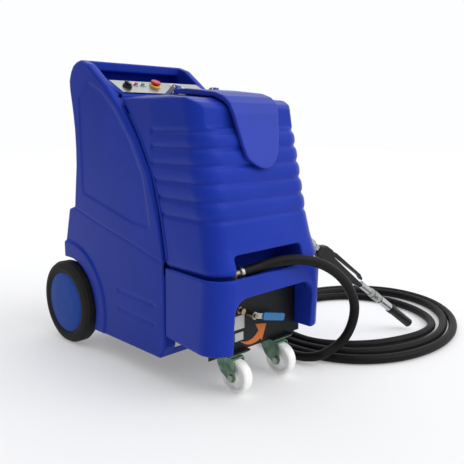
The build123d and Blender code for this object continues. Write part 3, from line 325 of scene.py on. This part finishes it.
# The tank's front is scalloped: six rounded valleys with soft bulges between them, deepest at the front.
VALLEYS = (0.734, 0.690, 0.645, 0.598, 0.551, 0.503)
BULGE, BULGE_SHARPNESS = 0.0028, 1.2
BULGE_ENDS_Y, BULGE_FADE = -0.20, 0.14
# Its walls lean inwards: their place at one height, how far they lean per metre, and the corner's radius.
TANK_Z, TANK_FRONT, TANK_HALF = 0.631, -0.385, 0.203
FRONT_LEAN, SIDE_LEAN = 0.21, 0.025
TANK_CORNER = 0.06


def scalloped(place):
    """Moves a point of the tank's outer wall out between two valleys, less and less towards the cheeks."""
    x, y, z = place
    if not VALLEYS[-1] < z < VALLEYS[0]:
        return place
    front = TANK_FRONT + (z - TANK_Z) * FRONT_LEAN
    wall = TANK_HALF + (TANK_Z - z) * SIDE_LEAN
    # only the outer face moves, not the hollow's
    on_front = y < front + 0.009
    in_corner = y < front + 0.07 and abs(x) > wall - 0.07 and \
        sqrt((abs(x) - wall + TANK_CORNER) ** 2 + (y - front - TANK_CORNER) ** 2) > 0.050
    on_side = abs(x) > wall - 0.011 - (y - TANK_FRONT) * 0.02 and y > front + 0.05
    if not (on_front or in_corner or on_side):
        return place
    between = 0.0
    for high, low in zip(VALLEYS, VALLEYS[1:]):
        if low < z < high:
            between = sin(pi * (z - low) / (high - low)) ** BULGE_SHARPNESS
    fade = min(1.0, max(0.0, (BULGE_ENDS_Y - y) / BULGE_FADE))
    sideways = min(1.0, max(0.0, (abs(x) - wall + TANK_CORNER) / TANK_CORNER))
    forwards = min(1.0, max(0.0, (front + TANK_CORNER - y) / TANK_CORNER))
    direction = Vector(((1 if x > 0 else -1) * sideways, -forwards, 0))
    if direction.length < 0.01:
        return place
    return place + direction.normalized() * BULGE * between * fade


# The faint parting line between the base and the back moulding, on both sides.
PARTING = ((0.274, 0.479), (0.116, 0.438), (-0.048, 0.402), (-0.206, 0.363))
PARTING_DEPTH, PARTING_WIDTH = 0.0012, 0.0035
OUTER_FACE_X = 0.2045


def parted(place):
    """Presses the parting line about a millimetre into the sides."""
    x, y, z = place
    if abs(x) < OUTER_FACE_X:
        return place
    for (y_back, z_back), (y_front, z_front) in zip(PARTING, PARTING[1:]):
        if y_front <= y <= y_back:
            line = z_front + (z_back - z_front) * (y - y_front) / (y_back - y_front)
            press = PARTING_DEPTH * exp(-((z - line) / PARTING_WIDTH) ** 2)
            return Vector((x - press if x > 0 else x + press, y, z))
    return place


tank_skin = moulded("tank_skin", ["tank"], MACHINE, voxel=0.0032, rounds=7, faces=130000, shape=scalloped)
lid_skin = moulded("lid_skin", ["lid"], "lid", voxel=0.0022, rounds=7, faces=50000)
# the bay's side walls, a few millimetres thicker towards the bay
BAY_WALLS = [([(side * 0.190, -0.204, 0), (side * 0.1968, -0.204, 0), (side * 0.2226, -0.380, 0),
               (side * 0.215, -0.380, 0)], 0.152, 0.322) for side, _ in SIDES]
skirt_skin = moulded("skirt_skin", ["front_skirt"], MACHINE, voxel=0.0032, rounds=8, faces=90000,
                     backing=BAY_WALLS)
# the ledge on top of the base, behind the back wall
LEDGE = ([(-0.202, 0.262, 0.0105), (0.202, 0.262, 0.0105), (0.202, 0.302, 0), (-0.202, 0.302, 0)],
         0.458, 0.4695)
body_skin = moulded("body_skin", ["rear_shell", "base_shell"], MACHINE, voxel=0.0034, rounds=8, faces=190000,
                    shape=parted, backing=[LEDGE])


def round_strand(name, route, radius, rings, steps, look):
    """A round rod or hose along a route of points: a curve of one open spline."""
    curve = bpy.data.curves.new(name, "CURVE")
    curve.dimensions = "3D"
    curve.bevel_depth = radius
    curve.bevel_resolution = rings
    curve.resolution_u = steps
    curve.use_fill_caps = True
    spline = curve.splines.new("NURBS")
    spline.points.add(len(route) - 1)
    for point, place in zip(spline.points, route):
        point.co = (*place, 1.0)
    spline.order_u = 3
    spline.use_endpoint_u = True
    curve.materials.append(LOOKS[look])
    piece = bpy.data.objects.new(name, curve)
    bpy.context.scene.collection.objects.link(piece)
    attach(piece, MACHINE)
    return piece


# The raised bead on the tank beside each cheek: its (y, z), with x found on the tank's wall.
BEAD_LINE = ((-0.2205, 0.374), (-0.2150, 0.405), (-0.2080, 0.440), (-0.1985, 0.482), (-0.1880, 0.520),
             (-0.1740, 0.566), (-0.1560, 0.612), (-0.1310, 0.662), (-0.1010, 0.708), (-0.0670, 0.750),
             (-0.0400, 0.780))
BEAD_R, BEAD_SUNK = 0.0048, 0.0012
OUTSIDE_X = 0.30
for side, name in SIDES:
    places = []
    for y, z in BEAD_LINE:
        found, wall, normal, face = tank_skin.ray_cast(Vector((side * OUTSIDE_X, y, z)), Vector((-side, 0, 0)))
        places.append((wall.x - side * BEAD_SUNK, y, z))
    round_strand(f"tank_bead_{name}", places, BEAD_R, rings=4, steps=6, look="shell_blue")

# ================================================================ the hose
HOSE_D = 0.030
HOSE_R = HOSE_D / 2
LEAD = [(-0.106, -0.418, 0.358), (-0.056, -0.420, 0.361), (0.004, -0.446, 0.376), (0.066, -0.480, 0.379),
        (0.128, -0.500, 0.361), (0.188, -0.509, 0.329), (0.243, -0.511, 0.287), (0.287, -0.509, 0.235),
        (0.313, -0.503, 0.187), (0.318, -0.493, 0.134), (0.302, -0.479, 0.084), (0.266, -0.460, 0.052),
        (0.214, -0.433, 0.029)]
TAIL = [(0.320, -0.244, 0.026), (0.323, -0.184, 0.040), (0.317, -0.126, 0.066), (0.303, -0.075, 0.098),
        (0.284, -0.036, 0.143), (0.266, -0.010, 0.196), (0.251, 0.004, 0.253), (0.243, 0.004, 0.313),
        (0.241, -0.010, 0.371), (0.240, -0.042, 0.424), (0.240, -0.088, 0.462), (0.240, -0.146, 0.474),
        (0.2392, -0.196, 0.464), (0.2392, -0.2361, 0.4491), (0.2522, -0.2709, 0.4274),
        (0.2764, -0.2954, 0.4017), (0.30873, -0.30618, 0.37538)]
# The loose coil on the floor: how far each turn is from the middle, every 22.5 degrees clockwise from above,
# from the far left over the far side and the right to the near side and back to the left.
COIL_MIDDLE = (0.630, -0.270)
COIL_STEP = radians(22.5)
COIL_FIRST = radians(-169)
COIL_TURNS = [
    [0.437, 0.412, 0.381, 0.357, 0.352, 0.372, 0.414, 0.462,
     0.490, 0.463, 0.414, 0.378, 0.364, 0.368, 0.388, 0.405],
    [0.398, 0.378, 0.346, 0.322, 0.316, 0.334, 0.374, 0.424,
     0.452, 0.430, 0.382, 0.342, 0.325, 0.318, 0.326, 0.344],
    [0.348, 0.336, 0.308, 0.286, 0.280, 0.293, 0.312, 0.334,
     0.336, 0.322, 0.314, 0.306, 0.276, 0.254, 0.257, 0.272],
    [0.296],
]
FLOOR_LIFT = HOSE_R + 0.0008

coil = []
for turn in COIL_TURNS:
    for i, reach in enumerate(turn):
        angle = COIL_FIRST - COIL_STEP * i
        coil.append((COIL_MIDDLE[0] + reach * cos(angle), COIL_MIDDLE[1] + reach * sin(angle), FLOOR_LIFT))

hose = round_strand("hose", LEAD + coil + TAIL, HOSE_R, rings=6, steps=10, look="hose_rubber")
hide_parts("hose_lead", "hose_coil", "hose_tail")
